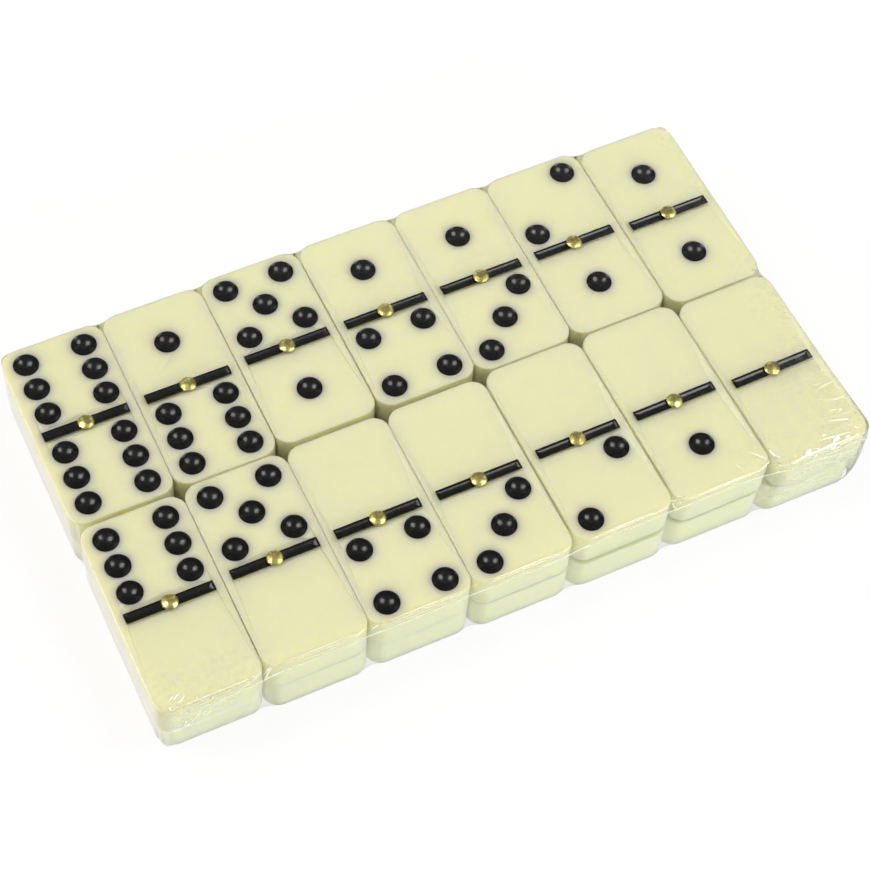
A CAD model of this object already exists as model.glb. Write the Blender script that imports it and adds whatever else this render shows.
# %% [markdown]
# # A double-six domino set in shrink film
#
# The object is a new set of twenty-eight dominoes, lying flat as it leaves the factory: two layers of
# fourteen ivory tiles, each with sunk black pips, a sunk black bar and a brass pin, all drawn together by
# one clear film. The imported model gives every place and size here. We dress it piece by piece: tiles,
# paint, pins, film.

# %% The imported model
import math
import random

import bmesh
import bpy
import numpy as np
from mathutils import Matrix, Vector, noise


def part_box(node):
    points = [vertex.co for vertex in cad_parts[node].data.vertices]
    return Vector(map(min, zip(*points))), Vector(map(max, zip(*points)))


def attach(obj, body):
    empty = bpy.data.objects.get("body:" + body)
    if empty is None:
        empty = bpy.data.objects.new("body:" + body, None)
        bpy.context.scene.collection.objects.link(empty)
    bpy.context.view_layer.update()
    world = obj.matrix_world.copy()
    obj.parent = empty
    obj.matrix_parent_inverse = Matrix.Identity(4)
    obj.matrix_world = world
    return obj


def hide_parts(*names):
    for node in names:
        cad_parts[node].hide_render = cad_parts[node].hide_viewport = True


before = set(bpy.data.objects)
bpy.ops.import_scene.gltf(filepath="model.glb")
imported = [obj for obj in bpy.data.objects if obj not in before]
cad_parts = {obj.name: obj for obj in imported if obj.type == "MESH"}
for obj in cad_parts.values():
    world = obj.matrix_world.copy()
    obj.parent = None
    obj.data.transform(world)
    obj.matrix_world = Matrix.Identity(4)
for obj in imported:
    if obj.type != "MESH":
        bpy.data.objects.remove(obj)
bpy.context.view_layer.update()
MM = 0.001

# %% [markdown]
# The names of the nodes tell which tile is which, but not which half lies towards the far side. So the four
# rows are written out once, from left to right, as (number on the far half, number on the near half).

# %% Which tile lies where
ROWS = {
    "upper_front": [(6, 0), (5, 0), (0, 4), (0, 3), (0, 2), (0, 1), (0, 0)],
    "upper_back": [(6, 6), (1, 6), (5, 1), (1, 4), (1, 3), (2, 1), (1, 1)],
    "lower_front": [(6, 2), (5, 4), (5, 3), (5, 2), (4, 3), (4, 2), (3, 2)],
    "lower_back": [(5, 5), (4, 4), (3, 3), (2, 2), (6, 5), (6, 4), (6, 3)],
}
UPPER = ("upper_front", "upper_back")
LOWER = ("lower_front", "lower_back")


def tag(pair):
    return f"{max(pair)}_{min(pair)}"


def pairs_in(rows):
    return [pair for row in rows for pair in ROWS[row]]


print("tiles, upper layer:", [tag(pair) for pair in pairs_in(UPPER)])
print("tiles, lower layer:", [tag(pair) for pair in pairs_in(LOWER)])

# %% [markdown]
# A tile's length, width and thickness come from the box of a tile that lies square. A turned tile has a
# wider box, and the extra width gives its turn. Its centre is its pin's centre. The rest of its sizes are
# listed here.

# %% Sizes of a tile and where each one lies
CORNER_R = 3.8 * MM
EDGE_R = 0.3 * MM
PIP_R = 3.05 * MM
PIP_DEPTH = 1.3 * MM
PIP_SPAN = 14.2 * MM
PIP_STEP = 7.2 * MM
HALF_CENTRE = 12.85 * MM
BAR_L = 21 * MM
BAR_W = 2.6 * MM
BAR_DEPTH = 0.7 * MM
BAR_LEAN = 0.5 * MM
PAINT_T = 0.12 * MM

square_low, square_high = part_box("tile_" + tag(ROWS["lower_front"][0]))
TILE_W, TILE_L, TILE_T = square_high - square_low


def tile_place(pair):
    """The matrix that seats a tile, drawn with its back on the origin, in its place in the pack."""
    low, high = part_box("tile_" + tag(pair))
    pin_low, pin_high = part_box("spinner_" + tag(pair))
    extra_w = max(0.0, (high.x - low.x) - TILE_W)
    turn = math.asin(extra_w / (TILE_L - 2 * CORNER_R))
    centre = (pin_low + pin_high) / 2
    return Matrix.Translation((centre.x, centre.y, low.z)) @ Matrix.Rotation(turn, 4, "Z")


places = {pair: tile_place(pair) for pair in pairs_in(ROWS)}
print("tile, mm:", [round(v / MM, 2) for v in (TILE_W, TILE_L, TILE_T)])
print("turns, degrees:", {tag(p): round(math.degrees(m.to_euler().z), 2) for p, m in places.items()})

# %% [markdown]
# ## The set: floor, lamps and camera
#
# The photograph is a plain catalogue shot: white ground, light from everywhere, and two square softboxes
# above, one to each side, which show as a pair of soft spots in every black pip. The floor lifts itself to
# white only for the rays that look at it, so it puts no more light on the tiles and still keeps their
# shadow.

# %% Floor
FLOOR_WHITE = (0.93, 0.93, 0.93, 1)
FLOOR_LIFT = 0.84
FLOOR_HALF = 6.0


def new_material(name):
    material = bpy.data.materials.new(name)
    material.use_nodes = True
    material.node_tree.nodes.clear()
    return material, material.node_tree


def add_node(tree, kind, values=None, output=0, **settings):
    """Adds a node and returns one of its outputs. Settings go on the node, and values on its sockets.

    A value that is another node's output is linked to its socket.
    """
    made = tree.nodes.new("ShaderNode" + kind)
    for name, value in settings.items():
        setattr(made, name, value)
    for name, value in (values or {}).items():
        if isinstance(value, bpy.types.NodeSocket):
            tree.links.new(value, made.inputs[name])
        else:
            made.inputs[name].default_value = value
    return made.outputs[output] if made.outputs else None


def finished_mesh(name, bm):
    mesh = bpy.data.meshes.new(name)
    bm.to_mesh(mesh)
    bm.free()
    return mesh


def add_object(name, data):
    made = bpy.data.objects.new(name, data)
    bpy.context.collection.objects.link(made)
    return made


def white_paper():
    """Part of what the eye sees of the paper is plain white, and the rest carries the shadow."""
    material, tree = new_material("white_paper")
    ray = add_node(tree, "LightPath").node.outputs
    mirrored = add_node(tree, "Math", {
        0: ray["Is Glossy Ray"], 1: ray["Is Transmission Ray"],
    }, operation="MAXIMUM")
    seen = add_node(tree, "Math", {0: ray["Is Camera Ray"], 1: mirrored}, operation="MAXIMUM")
    lift = add_node(tree, "Math", {0: seen, 1: FLOOR_LIFT}, operation="MULTIPLY")
    paper = add_node(tree, "BsdfDiffuse", {"Color": FLOOR_WHITE})
    white = add_node(tree, "Emission", {"Color": (1, 1, 1, 1), "Strength": 1.0})
    mix = add_node(tree, "MixShader", {"Fac": lift, 1: paper, 2: white})
    add_node(tree, "OutputMaterial", {"Surface": mix})
    return material


def white_floor():
    bm = bmesh.new()
    bmesh.ops.create_grid(bm, x_segments=2, y_segments=2, size=FLOOR_HALF)
    mesh = finished_mesh("floor", bm)
    mesh.materials.append(white_paper())
    floor = add_object("floor", mesh)


white_floor()
print("floor half width, m:", FLOOR_HALF)

# %% World
HORIZON = (0.97, 1.0, 0.95, 1)
LOW_SKY = (0.84, 0.87, 0.83, 1)
CEILING = (0.15, 0.15, 0.155, 1)
RIGHT_WALL = (0.75, 0.75, 0.77, 1)


def studio_world():
    """A pale room: bright round the horizon, dim overhead, and a paler wall behind to the right."""
    world = bpy.data.worlds.new("studio")
    bpy.context.scene.world = world
    world.use_nodes = True
    tree = world.node_tree
    tree.nodes.clear()
    coords = add_node(tree, "TexCoord", output="Generated")
    x, y, z = add_node(tree, "SeparateXYZ", {0: coords}).node.outputs
    sky = add_node(tree, "ValToRGB", {"Fac": z}, "Color")
    stops = sky.node.color_ramp.elements
    stops[0].position, stops[0].color = 0.0, HORIZON
    stops[1].position, stops[1].color = 0.85, CEILING
    stops.new(0.28).color = HORIZON
    stops.new(0.5).color = LOW_SKY
    side = add_node(tree, "Math", {0: x, 1: 0.8, 2: y}, operation="MULTIPLY_ADD")
    wall = add_node(tree, "MapRange", {
        "Value": side, "From Min": 0.7, "From Max": 1.15, "To Max": 0.55,
    })
    blend = add_node(tree, "Mix", {"Factor": wall, 6: sky, 7: RIGHT_WALL}, 2, data_type="RGBA")
    back = add_node(tree, "Background", {"Color": blend, "Strength": 1.0})
    add_node(tree, "OutputWorld", {"Surface": back})


studio_world()
print("world: horizon", HORIZON[:3], "ceiling", CEILING[:3])

# %% [markdown]
# Each softbox is placed by its direction from the pack: how far round it stands from the camera, and how
# far down from overhead. Its power follows from how bright its cloth should look. Two low and small ones, a
# cool and a warm one, fill the near side and the left side. They stand where no view from behind mirrors
# them whole.

# %% Lamps and camera
VIEW_AZIMUTH = -29.585
VIEW_ELEVATION = 58.423
VIEW_ROLL = 5.009
CAMERA_AT = Vector((-141.27, -251.72, 471.79)) * MM
LENS_MM = 95.566
SENSOR_MM = 36.0


def photo_camera():
    data = bpy.data.cameras.new("camera")
    data.lens = LENS_MM
    data.sensor_width = SENSOR_MM
    camera = add_object("camera", data)
    tilt = math.radians(90 - VIEW_ELEVATION)
    turn = Matrix.Rotation(math.radians(VIEW_AZIMUTH), 4, "Z") @ Matrix.Rotation(tilt, 4, "X")
    camera.matrix_world = (
        Matrix.Translation(CAMERA_AT) @ turn @ Matrix.Rotation(math.radians(VIEW_ROLL), 4, "Z")
    )
    bpy.context.scene.camera = camera


def softbox(name, azimuth, zenith, distance, size, radiance, colour):
    """A square lamp that faces the pack. Azimuth 0 is the camera's own and grows to its right, in degrees."""
    turn = Matrix.Rotation(math.radians(VIEW_AZIMUTH + azimuth), 3, "Z")
    away = turn @ Matrix.Rotation(math.radians(zenith), 3, "X") @ Vector((0, 0, 1))
    data = bpy.data.lights.new(name, "AREA")
    data.shape = "SQUARE"
    data.size = size
    data.energy = radiance * math.pi * size * size
    data.color = colour
    facing = away.to_track_quat("Z", "Y").to_matrix().to_4x4()
    add_object(name, data).matrix_world = Matrix.Translation(away * distance) @ facing


photo_camera()
WARM = (1.0, 0.975, 0.94)
COOL = (0.85, 1.0, 0.97)
ROSE = (1.0, 0.74, 0.46)
softbox("softbox_left", -94, 30, 1.3, 0.52, 7.1, WARM)
softbox("softbox_right", 94, 30, 1.3, 0.52, 7.1, WARM)
softbox("front_fill", 47, 75, 1.3, 0.44, 6.4, COOL)
softbox("left_fill", -83, 77, 1.5, 0.62, 4.3, ROSE)
bpy.context.scene.view_settings.view_transform = "Standard"
print("camera at, mm:", [round(v / MM, 1) for v in CAMERA_AT])

# %% [markdown]
# ## Finishes
#
# The tiles are cast resin, which light enters and leaves again a millimetre or so away. Subsurface
# scattering gives that softness. It also means that the ivory looks cool and grey just round each black
# pip, where the light that should come back is lost in the paint. The mesh carries how near the black is,
# named near_black.

# %% Ivory resin
IVORY_LIGHT = (0.955, 0.945, 0.69, 1)
IVORY_DEEP = (0.948, 0.938, 0.68, 1)
STAINED = (0.76, 0.76, 0.87, 1)
SCRATCH_GREY = (0.78, 0.77, 0.60, 1)
SOFT_DEPTH = 3 * MM


def ivory_resin():
    """Cloudy ivory with faint hairline scratches, cool and grey round the black."""
    material, tree = new_material("ivory_resin")
    coords = add_node(tree, "TexCoord", output="Object")
    cloud = add_node(tree, "TexNoise", {
        "Vector": coords, "Scale": 45.0, "Detail": 3.0, "Roughness": 0.5,
    })
    spread = add_node(tree, "MapRange", {"Value": cloud, "From Min": 0.3, "From Max": 0.7})
    body = add_node(tree, "Mix", {
        "Factor": spread, 6: IVORY_DEEP, 7: IVORY_LIGHT,
    }, 2, data_type="RGBA")
    slant = add_node(tree, "Mapping", {
        "Vector": coords, "Rotation": (0, 0, 0.5), "Scale": (90, 900, 90),
    })
    streak = add_node(tree, "TexNoise", {"Vector": slant, "Scale": 1.0, "Detail": 2.0})
    thin = add_node(tree, "MapRange", {
        "Value": streak, "From Min": 0.84, "From Max": 0.92, "To Max": 0.4,
    })
    worn = add_node(tree, "Mix", {"Factor": thin, 6: body, 7: SCRATCH_GREY}, 2, data_type="RGBA")
    near_black = add_node(tree, "Attribute", output="Fac", attribute_name="near_black")
    halo = add_node(tree, "Mix", {
        "Factor": near_black, 6: worn, 7: STAINED,
    }, 2, data_type="RGBA", blend_type="MULTIPLY")
    peel = add_node(tree, "TexNoise", {"Vector": coords, "Scale": 350.0, "Detail": 2.0})
    gloss = add_node(tree, "MapRange", {"Value": peel, "To Min": 0.26, "To Max": 0.32})
    bump = add_node(tree, "Bump", {"Height": peel, "Strength": 0.02, "Distance": 0.0002})
    resin = add_node(tree, "BsdfPrincipled", {
        "Base Color": halo, "Roughness": gloss, "Normal": bump, "IOR": 1.5,
        "Subsurface Weight": 0.9, "Subsurface Scale": SOFT_DEPTH,
        "Subsurface Radius": (1.0, 0.95, 0.4), "Subsurface Anisotropy": 0.0,
    })
    add_node(tree, "OutputMaterial", {"Surface": resin})
    return material


ivory = ivory_resin()
print("ivory depth of scatter, mm:", SOFT_DEPTH / MM)

# %% [markdown]
# The black is a glossy lacquer, wiped into the hollows. Here and there it has dried with fine pinholes, and
# each hollow has its own share of them: a number from 0 to 1 that the mesh carries, named pitted.

# %% Black lacquer
LACQUER = (0.004, 0.004, 0.003, 1)
DUST = (0.11, 0.11, 0.115, 1)


def black_lacquer():
    material, tree = new_material("black_lacquer")
    coords = add_node(tree, "TexCoord", output="Object")
    share = add_node(tree, "Attribute", output="Fac", attribute_name="pitted")
    grain = add_node(tree, "TexNoise", {"Vector": coords, "Scale": 2600.0, "Detail": 2.0})
    specks = add_node(tree, "MapRange", {"Value": grain, "From Min": 0.62, "From Max": 0.72})
    pits = add_node(tree, "Math", {0: specks, 1: share}, operation="MULTIPLY")
    colour = add_node(tree, "Mix", {"Factor": pits, 6: LACQUER, 7: DUST}, 2, data_type="RGBA")
    ripple = add_node(tree, "TexNoise", {"Vector": coords, "Scale": 700.0, "Detail": 3.0})
    gloss = add_node(tree, "MapRange", {"Value": ripple, "To Min": 0.10, "To Max": 0.34})
    height = add_node(tree, "Math", {0: pits, 1: 0.6, 2: ripple}, operation="MULTIPLY_ADD")
    bump = add_node(tree, "Bump", {"Height": height, "Strength": 0.25, "Distance": 0.0001})
    lacquer = add_node(tree, "BsdfPrincipled", {
        "Base Color": colour, "Roughness": gloss, "Normal": bump, "IOR": 1.52,
    })
    add_node(tree, "OutputMaterial", {"Surface": lacquer})
    return material


lacquer = black_lacquer()
print("black lacquer, brightness:", LACQUER[:3])

# %% Brass
BRASS_BRIGHT = (0.86, 0.76, 0.34, 1)
BRASS_OLIVE = (0.46, 0.42, 0.10, 1)


def stamped_brass():
    """Yellow brass, dulled to olive in patches and never quite smooth."""
    material, tree = new_material("stamped_brass")
    coords = add_node(tree, "TexCoord", output="Object")
    patch = add_node(tree, "TexNoise", {"Vector": coords, "Scale": 900.0, "Detail": 3.0})
    spread = add_node(tree, "MapRange", {"Value": patch, "From Min": 0.35, "From Max": 0.65})
    colour = add_node(tree, "Mix", {
        "Factor": spread, 6: BRASS_OLIVE, 7: BRASS_BRIGHT,
    }, 2, data_type="RGBA")
    gloss = add_node(tree, "MapRange", {"Value": spread, "To Min": 0.45, "To Max": 0.26})
    bump = add_node(tree, "Bump", {"Height": patch, "Strength": 0.35, "Distance": 0.00012})
    brass = add_node(tree, "BsdfPrincipled", {
        "Base Color": colour, "Roughness": gloss, "Normal": bump, "Metallic": 1.0,
    })
    add_node(tree, "OutputMaterial", {"Surface": brass})
    return material


brass = stamped_brass()
print("finishes so far:", [m.name for m in (ivory, lacquer, brass)])

# %% [markdown]
# ## Tiles
#
# A tile is a block with round corners and soft edges. A cube does for the start: one bevel rounds the four
# upright corners and a second one the rims. The face is then opened, the rings of the hollows are laid in
# it, and one fill closes the ivory round them all. An inset first keeps the face flat where the light is
# soft.

# %% Tile blank
CORNER_STEPS = 8
EDGE_STEPS = 5
FACE_MARGIN = 0.35 * MM


def rim_edges(bm, height):
    """The edges that lie all the way round at one height."""
    near = 1e-6
    return [e for e in bm.edges if all(abs(v.co.z - height) < near for v in e.verts)]


def round_off(bm, edges, r, steps):
    bmesh.ops.bevel(
        bm, geom=edges, offset=r, offset_type="OFFSET", segments=steps, profile=0.5, affect="EDGES",
        material=-1,
    )


def tile_blank():
    bm = bmesh.new()
    bmesh.ops.create_cube(bm, size=1.0)
    bmesh.ops.scale(bm, vec=(TILE_W, TILE_L, TILE_T), verts=bm.verts)
    bmesh.ops.translate(bm, vec=(0, 0, TILE_T / 2), verts=bm.verts)
    upright = [e for e in bm.edges if abs(e.verts[0].co.z - e.verts[1].co.z) > TILE_T / 2]
    round_off(bm, upright, CORNER_R, CORNER_STEPS)
    round_off(bm, rim_edges(bm, 0) + rim_edges(bm, TILE_T), EDGE_R, EDGE_STEPS)
    for facing in (-1, 1):
        face = max(bm.faces, key=lambda f: f.calc_area() * (f.normal.z * facing > 0.99))
        bmesh.ops.inset_region(bm, faces=[face], thickness=FACE_MARGIN, use_even_offset=True)
    return bm


print("tile corners and soft edges, mm:", round(CORNER_R / MM, 2), round(EDGE_R / MM, 2))

# %% [markdown]
# A pip's hollow is a slice of a ball. One point at its lowest spot is spun about the ball's centre to give
# half of the bowl's section, and that arc is spun about the upright axis to give the bowl. The paint in it
# is the same bowl a little higher, with a back of its own. A collar is a narrow soft lip round the mouth.

# %% Pip bowls
BOWL_SIDES = 40
BOWL_RINGS = 7
RIM_SOFT = 0.09 * MM


def spin_round(bm, sides):
    """Spins all there is one full turn about the upright axis."""
    bmesh.ops.spin(
        bm, geom=bm.verts[:] + bm.edges[:], cent=(0, 0, 0), axis=(0, 0, 1), dvec=(0, 0, 0),
        angle=2 * math.pi, steps=sides, use_merge=True, use_duplicate=False,
    )
    bmesh.ops.remove_doubles(bm, verts=bm.verts, dist=1e-7)


def spun_bowl(radius, depth, collar):
    """A bowl that opens at z = 0. The collar lists (step out from the mouth, height) of each ring."""
    bm = bmesh.new()
    ball_r = (radius ** 2 + depth ** 2) / (2 * depth)
    pole = bm.verts.new((0, 0, -depth))
    arc = bmesh.ops.spin(
        bm, geom=[pole], cent=(0, 0, ball_r - depth), axis=(0, 1, 0), dvec=(0, 0, 0),
        angle=-math.asin(radius / ball_r), steps=BOWL_RINGS, use_merge=False, use_duplicate=False,
    )
    tip = [v for v in arc["geom_last"] if isinstance(v, bmesh.types.BMVert)][0]
    for out, up in collar:
        lip = bm.verts.new((radius + out, 0, up))
        bm.edges.new((tip, lip))
        tip = lip
    spin_round(bm, BOWL_SIDES)
    return finished_mesh("bowl", bm)


ivory_bowl = spun_bowl(PIP_R, PIP_DEPTH, [(RIM_SOFT, 0.0), (2.5 * RIM_SOFT, 0.0)])
print("bowl: corners", len(ivory_bowl.vertices), "faces", len(ivory_bowl.polygons))

PIP_SPOTS = {
    0: [], 1: [(0, 0)], 2: [(-1, -1), (1, 1)], 3: [(-1, -1), (0, 0), (1, 1)],
    4: [(-1, -1), (1, 1), (-1, 1), (1, -1)], 5: [(-1, -1), (1, 1), (-1, 1), (1, -1), (0, 0)],
    6: [(-1, -1), (1, 1), (-1, 1), (1, -1), (-1, 0), (1, 0)],
}


def pip_places(pair):
    """Where a tile's pips lie on its face, in the tile's own frame."""
    for number, centre in zip(pair, (HALF_CENTRE, -HALF_CENTRE)):
        for across, along in PIP_SPOTS[number]:
            yield Vector((across * PIP_SPAN / 2, centre + along * PIP_STEP, TILE_T))


def add_copy(bm, mesh, offset):
    """Adds a mesh's geometry to bm at an offset and returns its new points."""
    before = len(bm.verts)
    bm.from_mesh(mesh)
    bm.verts.ensure_lookup_table()
    fresh = bm.verts[before:]
    bmesh.ops.translate(bm, vec=offset, verts=fresh)
    return fresh


# %% [markdown]
# The bar is a trough with leaning walls. An inset with a depth draws the walls and the floor in one go. The
# floor has a round hole for the pin, so it is filled between its outline and a circle.

# %% Bar trough
BORE_R = 0.81 * MM
BORE_DEPTH = 6.3 * MM
BORE_SIDES = 24


def open_edges(bm, verts):
    """The edges of these points that have one face at most."""
    mine = set(verts)
    return [e for e in bm.edges if e.verts[0] in mine and e.verts[1] in mine and len(e.link_faces) < 2]


def bar_trough():
    """A trough that opens at z = 0, with a round bore in its floor."""
    bm = bmesh.new()
    made = bmesh.ops.create_grid(bm, x_segments=1, y_segments=1, size=0.5)
    bmesh.ops.scale(bm, vec=(BAR_L, BAR_W, 1), verts=made["verts"])
    sunk = bm.faces[:]
    bmesh.ops.inset_region(bm, faces=sunk, thickness=BAR_LEAN, depth=0, use_even_offset=True)
    bmesh.ops.translate(bm, vec=(0, 0, -BAR_DEPTH), verts=sunk[0].verts[:])
    outline = sunk[0].edges[:]
    bmesh.ops.delete(bm, geom=sunk, context="FACES_ONLY")
    ring = bmesh.ops.create_circle(bm, segments=BORE_SIDES, radius=BORE_R, cap_ends=False)["verts"]
    bmesh.ops.translate(bm, vec=(0, 0, -BAR_DEPTH), verts=ring)
    hole = [e for e in bm.edges if e.verts[0] in ring and e.verts[1] in ring]
    bmesh.ops.triangle_fill(bm, edges=outline + hole, use_beauty=True, normal=(0, 0, 1))
    walls = bmesh.ops.extrude_edge_only(bm, edges=hole)["geom"]
    foot = [v for v in walls if isinstance(v, bmesh.types.BMVert)]
    bmesh.ops.translate(bm, vec=(0, 0, BAR_DEPTH - BORE_DEPTH), verts=foot)
    bmesh.ops.contextual_create(bm, geom=open_edges(bm, foot))
    return finished_mesh("trough", bm)


ivory_trough = bar_trough()
print("trough: corners", len(ivory_trough.vertices))

# %% Pieces take their place
SMOOTH_LIMIT = math.radians(38)
FACE_CELL = 0.9 * MM
HALO_REACH = 1.1 * MM


def new_piece(name, bm, material, slot, *nodes):
    """Makes a piece of a finished bmesh: smooth where it bends softly, and riding on the pack."""
    mesh = finished_mesh(name, bm)
    mesh.polygons.foreach_set("use_smooth", [True] * len(mesh.polygons))
    mesh.set_sharp_from_angle(angle=SMOOTH_LIMIT)
    mesh.materials.append(material)
    piece = add_object(name, mesh)
    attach(piece, "root")
    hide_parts(*nodes)
    return piece


def beyond_black(points, pair):
    """How far points lie beyond the outline of the nearest hollow, seen from above. Inside one it is 0."""
    x, y, _ = np.array([p[:] for p in points]).T
    beyond = np.hypot(np.maximum(abs(x) - BAR_L / 2, 0), np.maximum(abs(y) - BAR_W / 2, 0))
    for spot in pip_places(pair):
        beyond = np.minimum(beyond, np.maximum(np.hypot(x - spot.x, y - spot.y) - PIP_R, 0))
    return beyond


def fine_face(bm, pair):
    """Cuts the face and its soft edge into small cells, so that they can carry a shade that changes."""
    middles = [f.calc_center_median() for f in bm.faces]
    bare = beyond_black(middles, pair) > 0
    rim = [f for f, mid, free in zip(bm.faces, middles, bare) if free and mid.z > TILE_T - EDGE_R]
    geom = list({g for f in rim for g in (f, *f.edges, *f.verts)})
    for half, normal in ((TILE_W / 2, Vector((1, 0, 0))), (TILE_L / 2, Vector((0, 1, 0)))):
        for at in np.arange(FACE_CELL - half, half, FACE_CELL):
            geom = bmesh.ops.bisect_plane(
                bm, geom=geom, dist=1e-7, plane_co=normal * float(at), plane_no=normal
            )["geom"]


def mark_near_black(bm, pair):
    """Writes 1 at the black, less and less away from it, and nothing below the face's soft edge."""
    layer = bm.verts.layers.float.new("near_black")
    away = beyond_black([v.co for v in bm.verts], pair)
    for v, d in zip(bm.verts, away):
        v[layer] = math.exp(-d / HALO_REACH) * max(0.0, 1 - (TILE_T - v.co.z) / EDGE_R)


def domino(pair):
    bm = tile_blank()
    face = max(bm.faces, key=lambda f: f.calc_area() * (f.normal.z > 0.99))
    outline = face.edges[:]
    bmesh.ops.delete(bm, geom=[face], context="FACES_ONLY")
    mouths = []
    for spot in pip_places(pair):
        mouths += open_edges(bm, add_copy(bm, ivory_bowl, spot))
    mouths += open_edges(bm, add_copy(bm, ivory_trough, (0, 0, TILE_T)))
    bmesh.ops.triangle_fill(bm, edges=outline + mouths, use_beauty=True, normal=(0, 0, 1))
    bmesh.ops.recalc_face_normals(bm, faces=bm.faces)
    fine_face(bm, pair)
    mark_near_black(bm, pair)
    bmesh.ops.transform(bm, matrix=places[pair], verts=bm.verts)
    return new_piece("domino_" + tag(pair), bm, ivory, "ivory", "tile_" + tag(pair))


dominoes = [domino(pair) for pair in pairs_in(ROWS)]
print("tiles:", len(dominoes), "corners in the first:", len(dominoes[0].data.vertices))

# %% [markdown]
# ## Paint
#
# All the paint of a layer is one piece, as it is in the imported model. Each lining is drawn from above as an
# open skin and solidified downwards. Paint draws itself up at the walls as it dries, so the bar's lining is
# a gutter: its far half leans towards the camera and catches a softbox as one long grey band.

# %% Pip and bar linings
COAT_T = 0.8 * PAINT_T
BAR_LIP = 0.2 * MM
LIP_DROP = 0.26 * MM
GUTTER_RISE = 0.51
BAR_CELLS = 72
BAR_LANES = 16

painted_bowl = spun_bowl(
    PIP_R - 1.4 * PAINT_T, PIP_DEPTH - PAINT_T,
    [(0.6 * PAINT_T, 0.15 * PAINT_T), (1.3 * PAINT_T, -0.1 * PAINT_T)],
)


def lining_depth(inside):
    """How deep the bar's paint lies that far in from the bar's edge: steep at first, then ever flatter."""
    if inside < BAR_LIP:
        return LIP_DROP * inside / BAR_LIP
    half = BAR_W / 2 - BAR_LIP
    run = min(inside - BAR_LIP, half)
    return LIP_DROP + GUTTER_RISE * (run - run * run / (2 * half))


def bar_lining():
    """A shallow gutter, hipped at both ends, with the room for the pin's shank left open."""
    bm = bmesh.new()
    made = bmesh.ops.create_grid(bm, x_segments=BAR_CELLS, y_segments=BAR_LANES, size=0.5)["verts"]
    for v in made:
        u = math.sin(math.pi * v.co.x)
        x, y = u * (BAR_L - PAINT_T) / 2, v.co.y * (BAR_W - PAINT_T)
        inside = min((BAR_W - PAINT_T) / 2 - abs(y), ((BAR_L - PAINT_T) / 2 - abs(x)) * 0.8)
        v.co = Vector((x, y, -lining_depth(max(0.0, inside))))
    under_head = [f for f in bm.faces if f.calc_center_median().xy.length < BORE_R + 0.2 * MM]
    bmesh.ops.delete(bm, geom=under_head, context="FACES")
    return finished_mesh("lining", bm)


painted_trough = bar_lining()


def paint(name, rows, seed):
    bm = bmesh.new()
    layer = bm.verts.layers.float.new("pitted")
    draw = random.Random(seed)

    def add_lining(mesh, pair, offset, pitted):
        fresh = add_copy(bm, mesh, offset)
        bmesh.ops.transform(bm, matrix=places[pair], verts=fresh)
        for v in fresh:
            v[layer] = pitted

    for pair in pairs_in(rows):
        for spot in pip_places(pair):
            add_lining(painted_bowl, pair, spot - Vector((0, 0, 0.2 * PAINT_T)), draw.random() ** 2)
        add_lining(painted_trough, pair, (0, 0, TILE_T - 0.02 * MM), 0.1)
    bmesh.ops.recalc_face_normals(bm, faces=bm.faces)
    upside_down = sum(f.normal.z * f.calc_area() for f in bm.faces) < 0
    if upside_down:
        bmesh.ops.reverse_faces(bm, faces=bm.faces)
    bmesh.ops.solidify(bm, geom=bm.faces[:], thickness=COAT_T)
    return new_piece(name, bm, lacquer, "black_paint", name.replace("pips", "paint"))


pips_upper = paint("pips_upper", UPPER, 11)
pips_lower = paint("pips_lower", LOWER, 12)
print("paint: corners", len(pips_upper.data.vertices), len(pips_lower.data.vertices))

# %% [markdown]
# ## Pins
#
# A pin is a turned and stamped nail: shank, point and a low domed head. Its section is drawn once as a few
# points and spun. Then each head gets its own faint dents, because stamped brass is never a true ball, and
# it is these that break its mirror image into light and dark.

# %% Brass pins
HEAD_R = 1.95 * MM
HEAD_H = 0.6 * MM
RIM_H = 0.15 * MM
SHANK_R = 0.8 * MM
SHANK_L = 6 * MM
POINT_L = 1 * MM
PIN_SIDES = 40
DENT = 0.05 * MM


def pin_section():
    """The pin's outline as (radius, height above the tile's face), from the point to the top."""
    dome = HEAD_H - RIM_H
    ball_r = (HEAD_R ** 2 + dome ** 2) / (2 * dome)
    points = [(0, -SHANK_L), (SHANK_R / 2, -SHANK_L), (SHANK_R, POINT_L - SHANK_L), (SHANK_R, 0)]
    points += [(HEAD_R - 0.08 * MM, 0), (HEAD_R - 0.01 * MM, 0.04 * MM), (HEAD_R, RIM_H - 0.06 * MM)]
    for step in range(9):
        r = HEAD_R * (0.985 - 0.985 * step / 8)
        points.append((r, RIM_H + ball_r * (math.cos(math.asin(r / ball_r)) - 1) + dome))
    return points


def pin(pair, seed):
    bm = bmesh.new()
    corners = [bm.verts.new((r, 0, z)) for r, z in pin_section()]
    for a, b in zip(corners, corners[1:]):
        bm.edges.new((a, b))
    spin_round(bm, PIN_SIDES)
    bmesh.ops.recalc_face_normals(bm, faces=bm.faces)
    for v in (v for v in bm.verts if v.co.z > RIM_H * 0.9):
        here = v.co / MM
        v.co.z -= DENT * max(0.0, 0.5 + noise.noise(Vector((here.x, here.y, seed * 7.3)) * 0.9))
    bmesh.ops.translate(bm, vec=(0, 0, TILE_T), verts=bm.verts)
    bmesh.ops.transform(bm, matrix=places[pair], verts=bm.verts)
    return new_piece("pin_" + tag(pair), bm, brass, "brass", "spinner_" + tag(pair))


pins = [pin(pair, i) for i, pair in enumerate(places)]
print("pins:", len(pins))

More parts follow.
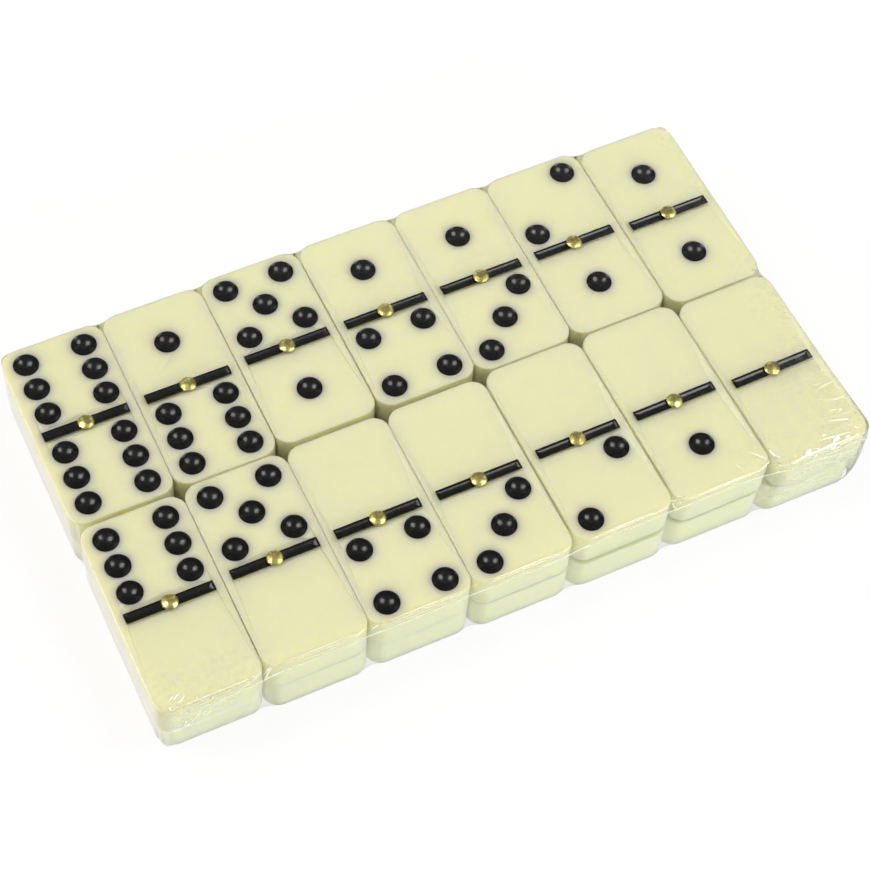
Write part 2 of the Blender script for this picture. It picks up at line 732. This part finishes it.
# %% [markdown]
# ## Film
#
# Shrink film is drawn tight by heat. It lies flat on the faces, rises as a low tent over each pin, follows
# the tile ends and spans the notches between them as taut webs. So we first ask the tiles how far they
# reach on each side, and let a ball roll along them: where it can't get in, the film can't either.

# %% How far the film is drawn in
_, film_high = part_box("shrink_film")
HALF_X, HALF_Y, _ = film_high
FILM_GAP = 0.06 * MM
WEB_R = 5 * MM
TAUT_R = 60 * MM
STATION = 0.25 * MM
SIDES = {
    "near": (np.array((0, -1)), np.array((1, 0)), HALF_Y, HALF_X),
    "far": (np.array((0, 1)), np.array((1, 0)), HALF_Y, HALF_X),
    "left": (np.array((-1, 0)), np.array((0, 1)), HALF_X, HALF_Y),
    "right": (np.array((1, 0)), np.array((0, 1)), HALF_X, HALF_Y),
}


def tile_outline(pair):
    """Points round a tile's plan, corner by corner, in the pack's frame."""
    turns = np.radians(np.linspace(0, 90, 13))
    points = []
    for i, (sx, sy) in enumerate(((1, 1), (-1, 1), (-1, -1), (1, -1))):
        middle = np.array((sx * (TILE_W / 2 - CORNER_R), sy * (TILE_L / 2 - CORNER_R)))
        angles = turns + i * math.pi / 2
        points += [middle + CORNER_R * np.array((math.cos(a), math.sin(a))) for a in angles]
    return np.array([(places[pair] @ Vector((x, y, 0))).xy for x, y in points]), np.array(points)


def drawn_reach(rows, side, ball_r):
    """How far out a side of the film lies at each station along it, when a ball of ball_r presses it in."""
    outward, along, _, half = SIDES[side]
    stations = np.arange(-half, half + STATION, STATION)
    reach = np.full(len(stations), -1.0)
    for pair in pairs_in(rows):
        placed, own = tile_outline(pair)
        limit = (own @ outward).max() - CORNER_R - 1e-9
        chosen = placed[(own @ outward) >= limit]
        order = np.argsort(chosen @ along)
        xs, outs = (chosen @ along)[order], (chosen @ outward)[order]
        reach = np.maximum(reach, np.interp(stations, xs, outs, left=-1, right=-1))
    bowl = (stations[:, None] - stations[None, :]) ** 2 / (2 * ball_r)
    lowest = (reach[None, :] - bowl).max(1)
    return stations, (lowest[:, None] + bowl).min(0)


reaches = {
    (side, layer, ball): drawn_reach(rows, side, ball_r)
    for side in SIDES
    for layer, rows in (("upper", UPPER), ("lower", LOWER))
    for ball, ball_r in (("web", WEB_R), ("taut", TAUT_R))
}
print("near film, upper layer, mm:", [round(v / MM, 2) for v in reaches["near", "upper", "web"][1][40::100]])

# %% [markdown]
# Every point of the film starts on a plain round-cornered box and is then drawn in: towards the middle on
# each side by what the tiles leave free there. The pull fades out a few millimetres in from the edge of the
# top. From the layer that stands out further, the film runs nearly straight to the far edge of the other
# one. At the near right corner it is loose: it stands off from the tiles, and hangs almost straight down
# before it turns in.

# %% Draw the film in and lift it over the pins
FILM_EDGE_R = 0.45 * MM
FILM_CORNER_R = CORNER_R + 0.1 * MM
FILM_TOP = places[(0, 0)].translation.z + TILE_T + FILM_GAP
FILM_FOOT = 0.03 * MM
JOINT_Z = places[(6, 2)].translation.z + TILE_T + HEAD_H / 2
JOINT_BLEND = 2.4 * MM
SEAL_Z = FILM_TOP - 2.4 * MM
SEAL_HOLD = 1.3 * MM
PULL_FADE = 7 * MM
CLINGING = 0.3
LOOSE_ENDS = {"near": 1, "right": -1}
LOOSE_REACH = 8 * MM
STAND_OFF = {"near": 0.3 * MM, "right": 1.2 * MM}
STAND_REACH = 14 * MM
TENT_R = 4.5 * MM
TENT_H = 0.42 * MM
TENT_DOME_R = 3.4 * MM


def soft_step(t):
    t = np.clip(t, 0, 1)
    return t * t * (3 - 2 * t)


def side_inset(side, s, z):
    """How far in from the plain box one side of the film lies, at a place along it and a height."""
    _, _, out_half, half = SIDES[side]
    straight = np.clip(s, -half + FILM_CORNER_R, half - FILM_CORNER_R)

    def inset(layer, ball):
        stations, reach = reaches[side, layer, ball]
        return out_half - FILM_GAP - np.interp(straight, stations, reach)

    up, low = inset("upper", "web"), inset("lower", "web")
    under = low + np.minimum(up - low, 0) * np.clip(z / JOINT_Z, 0, 1)
    over = up + np.minimum(low - up, 0) * np.clip((FILM_TOP - z) / (FILM_TOP - JOINT_Z), 0, 1)
    lift = soft_step((z - JOINT_Z) / JOINT_BLEND + 0.5)
    close = low * (1 - lift) + up * lift
    web = CLINGING * close + (1 - CLINGING) * np.where(z < JOINT_Z, under, over)
    if side in LOOSE_ENDS:
        off = s - LOOSE_ENDS[side] * half
        loose = np.exp(-(off / LOOSE_REACH) ** 2) * (z < JOINT_Z)
        bulged = low + np.minimum(up - low, 0) * np.clip(z / JOINT_Z, 0, 1) ** 0.3
        above_foot = np.clip(z / (5 * MM), 0, 1)
        below_top = np.clip((FILM_TOP - z) / (6 * MM) + 0.4, 0, 1)
        stand = STAND_OFF[side] * np.exp(-(off / STAND_REACH) ** 2)
        web = web * (1 - loose) + bulged * loose - stand * (above_foot * below_top)
    if side == "near":
        taut = inset("upper", "taut")
        held = np.exp(-((z - SEAL_Z) / SEAL_HOLD) ** 2)
        web = web * (1 - held) + taut * held
    return web


def draw_in(x, y, z):
    """Moves points of the plain box onto the drawn film, in plan."""
    fade_x = np.clip(1 - (HALF_X - np.abs(x)) / PULL_FADE, 0, 1) ** 2
    fade_y = np.clip(1 - (HALF_Y - np.abs(y)) / PULL_FADE, 0, 1) ** 2
    from_x = np.where(x > 0, side_inset("right", y, z), side_inset("left", y, z))
    from_y = np.where(y > 0, side_inset("far", x, z), side_inset("near", x, z))
    return x - np.sign(x) * from_x * fade_x, y - np.sign(y) * from_y * fade_y


def pin_tents(x, y):
    """The film's rise over the pins of the upper layer."""
    rise = np.zeros_like(x)
    for pair in pairs_in(UPPER):
        centre = places[pair].translation
        off = np.hypot(x - centre.x, y - centre.y)
        dome = HEAD_H - off ** 2 / (2 * TENT_DOME_R)
        skirt = TENT_H * np.clip(1 - off / TENT_R, 0, 1) ** 1.7
        rise = np.maximum(rise, np.maximum(dome, skirt))
    return rise


print("film top, layer joint and seal, mm:", [round(v / MM, 2) for v in (FILM_TOP, JOINT_Z, SEAL_Z)])

# %% [markdown]
# Where the film was gathered, at the two near corners and along the right edge, it is crinkled. Each place
# is a centre, a spread and a strength. The mesh carries the same number, named crinkle, so that the finish
# can turn milky there. A second number, named doubled, marks the band above the seal, where two films
# overlap.

# %% Crinkled places
CRINKLES = [
    # x, y, z, spread, strength (mm, mm, mm, mm, share)
    (-84, -49, 17, 9, 0.75), (-70, -50.5, 17, 11, 0.45),
    (84, -48, 15, 11, 1.0), (66, -49.5, 12, 12, 0.55), (87.5, -30, 19, 13, 0.45),
    (87, -8, 20, 8, 0.35), (62, -49.5, 20, 4, 0.6), (86.5, 45, 20, 5, 0.35),
    (86, 3, 19.5, 5, 0.35), (-62, -50, 19, 3.5, 0.5), (87.5, 25, 20, 9, 0.2),
]


def crinkle_at(x, y, z):
    share = np.zeros_like(x)
    for cx, cy, cz, spread, strength in CRINKLES:
        far = ((x - cx * MM) ** 2 + (y - cy * MM) ** 2 + (z - cz * MM) ** 2) / (spread * MM) ** 2
        share = np.maximum(share, strength * np.exp(-far * 1.6))
    return share


def doubled_at(x, y, z):
    on_side = np.clip((-y - HALF_Y + 2.2 * MM) / (0.6 * MM), 0, 1)
    above = soft_step((z - SEAL_Z) / (0.3 * MM) + 0.5)
    return on_side * above


print("crinkled places:", len(CRINKLES))

# %% [markdown]
# The sheet itself is a fine grid for the top, its corners pressed round. Its border is then pushed out and
# down ring by ring, over the edge, down the wall and under, and closed below. All points move at the end.

# %% The film's skin
TOP_CELL = 0.85 * MM
EDGE_RINGS = 5
WALL_RINGS = 24
RIPPLE = 0.05 * MM


def plan_normal(p):
    """Outward direction of the plain box at a point of its wall, seen from above."""
    corner = Vector((
        math.copysign(HALF_X - FILM_CORNER_R, p.x), math.copysign(HALF_Y - FILM_CORNER_R, p.y)
    ))
    over_x, over_y = abs(p.x) - abs(corner.x), abs(p.y) - abs(corner.y)
    if over_x > 0 and over_y > 0:
        return (p.xy - corner).normalized()
    return Vector((math.copysign(1, p.x), 0)) if over_x > over_y else Vector((0, math.copysign(1, p.y)))


def press_corners_round(bm, half_x, half_y, r):
    """Maps the grid's square corners onto quarter discs, with no cell lost."""
    for v in bm.verts:
        u = (abs(v.co.x) - half_x + r) / r
        w = (abs(v.co.y) - half_y + r) / r
        if u > 0 and w > 0:
            v.co.x = math.copysign(half_x - r + r * u * math.sqrt(1 - w * w / 2), v.co.x)
            v.co.y = math.copysign(half_y - r + r * w * math.sqrt(1 - u * u / 2), v.co.y)


def push_ring(bm, edges, out, z):
    """One more ring: the border's edges are extruded, moved out and set at height z."""
    made = bmesh.ops.extrude_edge_only(bm, edges=edges)["geom"]
    fresh = [v for v in made if isinstance(v, bmesh.types.BMVert)]
    mine = set(fresh)
    for v in fresh:
        n = plan_normal(v.co)
        v.co.xy += n * out
        v.co.z = z
    return [e for e in made if isinstance(e, bmesh.types.BMEdge) and set(e.verts) <= mine]


def film_rings():
    """(step outwards, height) of each ring from the top's border to the foot."""
    arc = [math.pi / 2 * (i + 1) / EDGE_RINGS for i in range(EDGE_RINGS)]
    outs = [FILM_EDGE_R * math.sin(a) for a in arc]
    rings = [(out - prev, FILM_TOP - FILM_EDGE_R * (1 - math.cos(a)))
             for a, out, prev in zip(arc, outs, [0] + outs)]
    high, low = FILM_TOP - FILM_EDGE_R, FILM_FOOT + FILM_EDGE_R
    rings += [(0, high + (low - high) * (i + 1) / WALL_RINGS) for i in range(WALL_RINGS)]
    rings += [(out - prev, FILM_FOOT + FILM_EDGE_R * (1 - math.cos(a)))
              for a, out, prev in zip(reversed(arc[:-1]), reversed(outs[:-1]), reversed(outs))]
    return rings + [(-outs[0], FILM_FOOT)]


def film_skin():
    bm = bmesh.new()
    flat_x, flat_y = HALF_X - FILM_EDGE_R, HALF_Y - FILM_EDGE_R
    bmesh.ops.create_grid(
        bm, x_segments=round(2 * flat_x / TOP_CELL), y_segments=round(2 * flat_y / TOP_CELL), size=1.0
    )
    bmesh.ops.scale(bm, vec=(flat_x, flat_y, 1), verts=bm.verts)
    bmesh.ops.translate(bm, vec=(0, 0, FILM_TOP), verts=bm.verts)
    press_corners_round(bm, flat_x, flat_y, FILM_CORNER_R - FILM_EDGE_R)
    border = [e for e in bm.edges if len(e.link_faces) == 1]
    for step, z in film_rings():
        border = push_ring(bm, border, step, z)
    bmesh.ops.contextual_create(bm, geom=border)
    bmesh.ops.recalc_face_normals(bm, faces=bm.faces)
    return bm


def settle_film(bm):
    """Draws every point onto the tiles and marks what is crinkled and what is doubled."""
    crinkle = bm.verts.layers.float.new("crinkle")
    doubled = bm.verts.layers.float.new("doubled")
    x, y, z = np.array([v.co[:] for v in bm.verts]).T
    share, twice = crinkle_at(x, y, z), doubled_at(x, y, z)
    new_x, new_y = draw_in(x, y, z)
    on_top = z > FILM_TOP - 1e-7
    new_z = np.where(on_top, z + pin_tents(x, y), z)
    normals = [v.normal.copy() for v in bm.verts]
    for i, v in enumerate(bm.verts):
        wave = noise.noise(Vector((x[i], y[i], z[i])) * 420) * share[i] * RIPPLE
        v.co = Vector((new_x[i], new_y[i], new_z[i])) + normals[i] * wave
        v[crinkle] = share[i]
        v[doubled] = twice[i]


skin = film_skin()
settle_film(skin)
print("film skin: corners", len(skin.verts), "faces", len(skin.faces))

# %% [markdown]
# Clear film shows only by what it mirrors: a little when seen face on, much more at a slant. Fresnel gives
# that share. The rest is a see-through shader, faintly milky where the film is crinkled and a little rosy
# where it is doubled. A bump that runs with the crinkles breaks up the lamps' reflections into bright
# threads.

# %% Clear film
CLEAR = (0.995, 0.995, 0.99, 1)
ROSY = (0.99, 0.955, 0.925, 1)
SLANT_GREY = (0.80, 0.80, 0.78, 1)
MILK = (0.96, 0.95, 0.88, 1)


def clear_film():
    material, tree = new_material("clear_film")
    coords = add_node(tree, "TexCoord", output="Object")
    crinkle = add_node(tree, "Attribute", output="Fac", attribute_name="crinkle")
    doubled = add_node(tree, "Attribute", output="Fac", attribute_name="doubled")
    tint = add_node(tree, "Mix", {"Factor": doubled, 6: CLEAR, 7: ROSY}, 2, data_type="RGBA")
    slant = add_node(tree, "LayerWeight", {"Blend": 0.25}, "Facing")
    thick = add_node(tree, "Mix", {"Factor": slant, 6: tint, 7: SLANT_GREY}, 2, data_type="RGBA")
    see = add_node(tree, "BsdfTransparent", {"Color": thick})
    milk = add_node(tree, "BsdfDiffuse", {"Color": MILK})
    folds = add_node(tree, "TexNoise", {
        "Vector": coords, "Scale": 900.0, "Detail": 3.0, "Distortion": 0.6,
    })
    lines = add_node(tree, "MapRange", {
        "Value": folds, "From Min": 0.45, "From Max": 0.68, "To Min": 0.1,
    })
    haze = add_node(tree, "Math", {0: lines, 1: crinkle}, operation="MULTIPLY")
    haze_share = add_node(tree, "Math", {0: haze, 1: 0.2}, operation="MULTIPLY")
    body = add_node(tree, "MixShader", {"Fac": haze_share, 1: see, 2: milk})
    slow = add_node(tree, "TexNoise", {"Vector": coords, "Scale": 120.0, "Detail": 2.0})
    both = add_node(tree, "Math", {0: folds, 1: slow}, operation="ADD")
    height = add_node(tree, "Math", {0: both, 1: crinkle}, operation="MULTIPLY")
    bump = add_node(tree, "Bump", {"Height": height, "Strength": 0.5, "Distance": 0.0003})
    rough = add_node(tree, "MapRange", {"Value": crinkle, "To Min": 0.07, "To Max": 0.16})
    gloss = add_node(tree, "BsdfGlossy", {
        "Color": (1, 1, 1, 1), "Roughness": rough, "Normal": bump,
    })
    fresnel = add_node(tree, "Fresnel", {"IOR": 1.5, "Normal": bump})
    surface = add_node(tree, "MixShader", {"Fac": fresnel, 1: body, 2: gloss})
    add_node(tree, "OutputMaterial", {"Surface": surface})
    return material


film_skin_piece = new_piece("film_skin", skin, clear_film(), "clear_film", "shrink_film")
print("film skin box, mm:", [round(v / MM, 2) for v in film_skin_piece.dimensions])

# %% [markdown]
# A fold is several films thick and bent too tightly to mirror anything whole, so it looks white with a
# broad sheen. The mesh carries how solid it looks, named solid: nearly 1 in a sharp crease, little in a
# soft one.

# %% Folded film
FOLD_WHITE = (1.0, 1.0, 0.9, 1)
FOLD_SHEEN = (1.0, 1.0, 0.95, 1)


def folded_film():
    material, tree = new_material("folded_film")
    solid = add_node(tree, "Attribute", output="Fac", attribute_name="solid")
    see = add_node(tree, "BsdfTransparent", {"Color": (1, 1, 1, 1)})
    white = add_node(tree, "BsdfDiffuse", {"Color": FOLD_WHITE})
    sheen = add_node(tree, "BsdfGlossy", {"Color": FOLD_SHEEN, "Roughness": 0.42})
    crease = add_node(tree, "MixShader", {"Fac": 0.5, 1: white, 2: sheen})
    surface = add_node(tree, "MixShader", {"Fac": solid, 1: see, 2: crease})
    add_node(tree, "OutputMaterial", {"Surface": surface})
    return material


folded = folded_film()
print("finish of folds and seal:", folded.name)

# %% [markdown]
# Where film has more stuff than room, it folds into thin pleats, and each one catches the lamps as a bright
# stroke. A pleat is a small grid laid along the film as a ridge that fades at both ends, with a wide flank
# and a steep one. film_spot says where a point of the film is, from how far along a side it lies and how
# far in from that side's edge.

# %% A place on the film
STRAIGHT = {side: SIDES[side][3] - FILM_CORNER_R for side in SIDES}


def film_spot(side, a, b):
    """The drawn film's point and normal: a runs along the side, b in from its edge, or down it if below 0."""
    outward, along, out_half, _ = SIDES[side]
    over = max(0.0, abs(a) - STRAIGHT[side])
    swing = min(over / FILM_CORNER_R, math.pi / 2)
    plan = outward * math.cos(swing) + along * math.copysign(math.sin(swing), a)
    hub = outward * (out_half - FILM_CORNER_R) + along * max(-STRAIGHT[side], min(a, STRAIGHT[side]))
    bend = min(max(-b / FILM_EDGE_R, 0.0), math.pi / 2)
    down = max(0.0, -b - FILM_EDGE_R * math.pi / 2)
    out = FILM_CORNER_R - FILM_EDGE_R - max(b, 0.0) + FILM_EDGE_R * math.sin(bend)
    x, y = hub + plan * out
    z = FILM_TOP - FILM_EDGE_R * (1 - math.cos(bend)) - down
    new_x, new_y = draw_in(np.array([x]), np.array([y]), np.array([z]))
    normal = Vector((*(plan * math.sin(bend)), math.cos(bend)))
    return Vector((float(new_x[0]), float(new_y[0]), z)), normal


print("straight run of the near side, mm:", round(2 * STRAIGHT["near"] / MM, 1))

# %% [markdown]
# The folds that show in the photograph lie on the near side and the face above it. They are listed one by
# one: the width, how solid the fold looks, and two to four points of its run. A point is how far along the
# side it lies and how far in from the edge, or down it when below 0, in millimetres. One smooth curve goes
# through them all.

# %% Folds seen in the photograph
FOLDS = [
    # near left corner: a pale gather low down, from which creases fan out up to the next tile
    (1.3, 0.45, [(-86.4, -7.6), (-84.4, -9.0), (-82.0, -8.8), (-80.2, -7.0)]),
    (0.40, 0.60, [(-81.0, -8.0), (-77.0, -5.0), (-72.5, -2.9), (-65.6, -1.4)]),
    (0.45, 0.70, [(-81.2, -8.6), (-79.6, -5.8), (-78.3, -2.4)]),
    (0.35, 0.45, [(-77.6, -7.9), (-75.6, -4.4), (-74.2, -1.8)]),
    (0.60, 0.22, [(-78.4, -7.6), (-75.4, -6.4), (-70.7, -6.6)]),
    (0.50, 0.25, [(-75.0, -8.0), (-73.0, -5.6), (-70.2, -4.6)]),
    (0.30, 0.85, [(-83.9, 2.3), (-83.2, 2.9), (-82.1, 3.5)]),
    (0.30, 0.90, [(-83.9, 1.3), (-82.4, 1.7), (-81.1, 2.9)]),
    (0.25, 0.70, [(-85.2, 2.6), (-84.4, 2.9), (-83.6, 3.5)]),
    (0.70, 0.85, [(-85.9, 0.7), (-85.2, 0.7)]),
    (0.55, 0.80, [(-85.0, -2.4), (-84.5, -2.2)]),
    # between 5|0 and 4|0, where the seal bridges the notch
    (0.45, 0.60, [(-64.4, -3.8), (-63.2, -2.0), (-61.0, 0.2)]),
    (0.30, 0.75, [(-64.0, -1.6), (-62.6, -0.6), (-61.2, -0.2)]),
    (0.45, 0.55, [(-38.6, -1.8), (-37.2, -0.8), (-35.2, -0.1)]),
    # round the near corners of 2|0, 1|0 and 0|0
    (0.55, 0.80, [(36.9, 2.0), (37.4, 0.9), (38.4, 0.2)]),
    (0.70, 0.90, [(38.9, 2.6), (39.4, 1.6), (40.6, 1.1)]),
    (0.35, 0.60, [(36.6, 0.6), (37.6, -1.4), (38.2, -3.0)]),
    (0.60, 0.90, [(59.6, 7.0), (61.6, 4.5), (62.7, 2.6)]),
    (0.50, 0.80, [(62.8, 2.6), (62.2, 1.0), (59.2, -0.2)]),
    (0.35, 0.80, [(55.5, 5.0), (55.9, 3.6), (56.3, 2.8)]),
    (0.55, 0.95, [(64.5, 6.0), (64.7, 3.6), (66.0, 1.8)]),
    (0.30, 0.70, [(64.6, 1.4), (65.2, 0.6), (65.6, -0.6)]),
    (0.30, 0.60, [(63.9, 0.4), (65.0, -0.9), (66.6, -1.6)]),
    # near right corner: creases along the face, blobs on the edge, soft waves down the side
    (0.35, 0.85, [(80.8, 6.7), (84.5, 5.6), (88.3, 4.3)]),
    (0.30, 0.80, [(75.9, 2.9), (80.3, 2.3), (85.3, 1.7)]),
    (0.25, 0.50, [(82.4, 9.2), (85.2, 8.4), (88.2, 7.3)]),
    (0.45, 0.80, [(66.6, -0.9), (69.2, 0.1), (72.0, 0.5), (75.0, 0.7)]),
    (0.50, 0.80, [(74.6, 0.5), (78.0, 0.6), (80.0, 1.0)]),
    (1.7, 0.95, [(71.3, 0.5), (72.6, 1.2), (73.6, 1.3)]),
    (0.50, 0.95, [(73.6, 1.9), (74.8, 1.0), (75.4, 0.7)]),
    (1.5, 0.95, [(78.9, 0.9), (80.2, 1.6), (81.3, 1.5)]),
    (0.80, 0.90, [(82.2, 1.1), (83.6, 0.9)]),
    (0.50, 0.90, [(84.6, 0.4), (85.8, 0.5)]),
    (1.4, 0.90, [(86.9, 1.6), (87.6, 3.0)]),
    (0.35, 0.80, [(70.4, 3.7), (70.6, 3.1)]),
    (0.45, 0.70, [(77.4, 3.6), (78.8, 3.7)]),
    (0.60, 0.50, [(84.0, -1.6), (86.4, -2.2), (87.6, -4.6), (87.0, -9.0)]),
    (0.80, 0.28, [(73.8, -6.5), (76.0, -8.3), (78.4, -10.2)]),
    (0.60, 0.30, [(65.9, -4.9), (68.0, -7.0), (70.8, -8.9)]),
    (1.6, 0.20, [(61.4, -9.0), (67.0, -11.6), (73.3, -15.6)]),
    (1.4, 0.20, [(64.0, -11.0), (70.0, -12.8), (80.0, -14.4)]),
    (1.8, 0.22, [(68.0, -3.4), (75.0, -5.4), (84.0, -8.4)]),
    (0.50, 0.35, [(70.0, -2.6), (77.0, -3.6), (84.0, -5.6)]),
]
print("folds seen:", len(FOLDS))

# %% [markdown]
# Round them lie finer ones, sown at random: beads along the edge, and a few hair-thin lines on the face
# that all run about the same way. Each group is a strip of a side with a heading (0 along the side, 90
# inwards).

# %% Finer folds
# side, along from, to, in from, to, heading, its spread, count, shortest, longest, width, solid (mm, degrees)
FINE_FOLDS = [
    ("near", -79, -65, -0.3, 0.5, 30, 30, 16, 0.3, 0.9, 0.35, 0.80),
    ("near", -86, -76, -3.0, 0.8, 45, 30, 12, 0.4, 1.4, 0.30, 0.50),
    ("near", -86, -80, -9.5, -7, 20, 30, 14, 0.6, 2.0, 0.50, 0.45),
    ("near", 66, 86, -2.2, 1.4, 15, 35, 26, 0.4, 1.8, 0.38, 0.65),
    ("near", 70, 86, -7.0, -2, 8, 14, 14, 1.0, 3.5, 0.50, 0.30),
    ("near", 62, 84, -15, -8, 6, 8, 10, 3.0, 7.0, 0.70, 0.16),
    ("near", 63.6, 66.4, -2.5, 2.0, 60, 40, 10, 0.4, 1.2, 0.30, 0.60),
    ("near", 37.0, 39.6, -2.5, 1.0, 60, 40, 9, 0.4, 1.2, 0.30, 0.60),
    ("right", -46, -30, 0.3, 7, 84, 8, 10, 2.0, 7.0, 0.34, 0.18),
    ("right", -30, -14, 0.3, 5, 66, 10, 7, 1.0, 4.0, 0.30, 0.15),
    ("right", -3, 2, 0.2, 2.2, 40, 35, 6, 0.5, 1.6, 0.30, 0.50),
    ("right", -14, -8, 0.3, 3, 60, 25, 4, 0.6, 2.2, 0.30, 0.25),
]
print("finer folds:", sum(group[7] for group in FINE_FOLDS))

# %% [markdown]
# The film is also creased where it bends over each near tile's end. On the face, a pleat's wide flank is
# turned to the camera's side, and on a wall it is turned up, because that is how the photographed ones
# catch the lamps.

# %% Lay the folds
# width, solid, half length, in from the edge (mm)
EDGE_CREASES = [(0.45, 0.8, 10.2, 0.28), (0.24, 0.35, 9.4, -0.95)]
CAMERA_WAY = np.array((-0.494, -0.870))
FOLD_SLOPE = 0.32
FOLD_TOP = 0.2 * MM
FOLD_STEPS = 24
FOLD_LANES = 6


def add_fold(bm, side, width, solid, run):
    """Lays one pleat along a smooth curve through the points of its run, all in metres."""
    layer = bm.verts.layers.float["solid"]
    made = bmesh.ops.create_grid(bm, x_segments=FOLD_STEPS, y_segments=FOLD_LANES, size=0.5)["verts"]
    marks = np.linspace(-0.5, 0.5, len(run))
    curve = [np.polyfit(marks, [point[k] for point in run], len(run) - 1) for k in (0, 1)]
    slope = [np.polyder(c) for c in curve]
    outward, along, _, _ = SIDES[side]
    on_face = np.mean([b for _, b in run]) > 0
    faced = Vector((along @ CAMERA_WAY, -outward @ CAMERA_WAY) if on_face else (0, 1))
    for v in made:
        t, w = v.co.x, v.co.y
        taper = max(0.0, 1 - (2 * t) ** 2) ** 0.6
        a, b = (float(np.polyval(c, t)) for c in curve)
        across = Vector((-float(np.polyval(slope[1], t)), float(np.polyval(slope[0], t)))).normalized()
        k = w * width * (0.25 + 0.75 * taper)
        spot, normal = film_spot(side, a + across.x * k, b + across.y * k)
        ridge = 1 - (2 * w) ** 2
        lean = w if across @ faced > 0 else -w
        rise = min((0.5 - lean) / 0.8, (0.5 + lean) / 0.2, 1.0)
        v.co = spot + normal * (min(FOLD_SLOPE * width, FOLD_TOP) * taper * rise + 0.01 * MM)
        v[layer] = solid * taper * ridge ** 0.7


def film_folds():
    bm = bmesh.new()
    bm.verts.layers.float.new("solid")
    for width, solid, run in FOLDS:
        add_fold(bm, "near", width * MM, solid, [(a * MM, b * MM) for a, b in run])
    for pair in ROWS["upper_front"]:
        middle = places[pair].translation.x
        for width, solid, half, at in EDGE_CREASES:
            run = [(middle + step * half * MM, at * MM) for step in (-1, 0, 1)]
            add_fold(bm, "near", width * MM, solid, run)
    draw = random.Random(5)
    for side, a0, a1, b0, b1, heading, spread, count, short, long, width, solid in FINE_FOLDS:
        for _ in range(count):
            a, b = draw.uniform(a0, a1) * MM, draw.uniform(b0, b1) * MM
            turn = math.radians(heading + draw.gauss(0, spread))
            reach = draw.uniform(short, long) / 2 * MM
            bow = reach * draw.uniform(-0.2, 0.2)
            step = Vector((math.cos(turn), math.sin(turn))) * reach
            run = [(a - step.x, b - step.y), (a - step.y / reach * bow, b + step.x / reach * bow)]
            add_fold(bm, side, width * draw.uniform(0.7, 1.2) * MM, solid, run + [(a + step.x, b + step.y)])
    bmesh.ops.recalc_face_normals(bm, faces=bm.faces)
    return new_piece("film_folds", bm, folded, "clear_film", "shrink_film")


folds = film_folds()
print("folds: corners", len(folds.data.vertices))

# %% [markdown]
# The trim seal is where the sleeve was cut and welded: a thread of molten film, beaded by the hot wire. It
# runs along the near side and bridges every notch, so it follows the taut reach and not the webs.

# %% Trim seal
SEAL_R = 0.11 * MM
BEAD_STEP = 0.8 * MM
SEAL_CELLS = 1000
SEAL_SIDES = 8
SEAL_SOLID = 0.5


def film_seal():
    bm = bmesh.new()
    layer = bm.verts.layers.float.new("solid")
    made = bmesh.ops.create_grid(bm, x_segments=SEAL_CELLS, y_segments=SEAL_SIDES, size=0.5)["verts"]
    stations, reach = reaches["near", "upper", "taut"]
    half = STRAIGHT["near"]
    for v in made:
        x, turn = 2 * v.co.x * half, 2 * math.pi * (v.co.y + 0.5)
        swell = 0.8 + 0.35 * math.sin(2 * math.pi * x / BEAD_STEP) + 0.5 * noise.noise((x * 300, 0, 0))
        bead = SEAL_R * swell
        closing = math.sqrt(max(0.0, 1 - (2 * v.co.x) ** 40))
        wander = 0.5 * MM * noise.noise((x * 22, 3, 0)) + 0.5 * MM * x / half
        out = np.interp(x, stations, reach) + FILM_GAP + 0.5 * SEAL_R
        v.co = Vector((
            x, -out - bead * closing * math.cos(turn), SEAL_Z + wander + bead * closing * math.sin(turn)
        ))
        v[layer] = SEAL_SOLID
    bmesh.ops.remove_doubles(bm, verts=bm.verts, dist=1e-7)
    bmesh.ops.recalc_face_normals(bm, faces=bm.faces)
    return new_piece("film_seal", bm, folded, "clear_film", "shrink_film")


seal = film_seal()
print("seal: corners", len(seal.data.vertices))
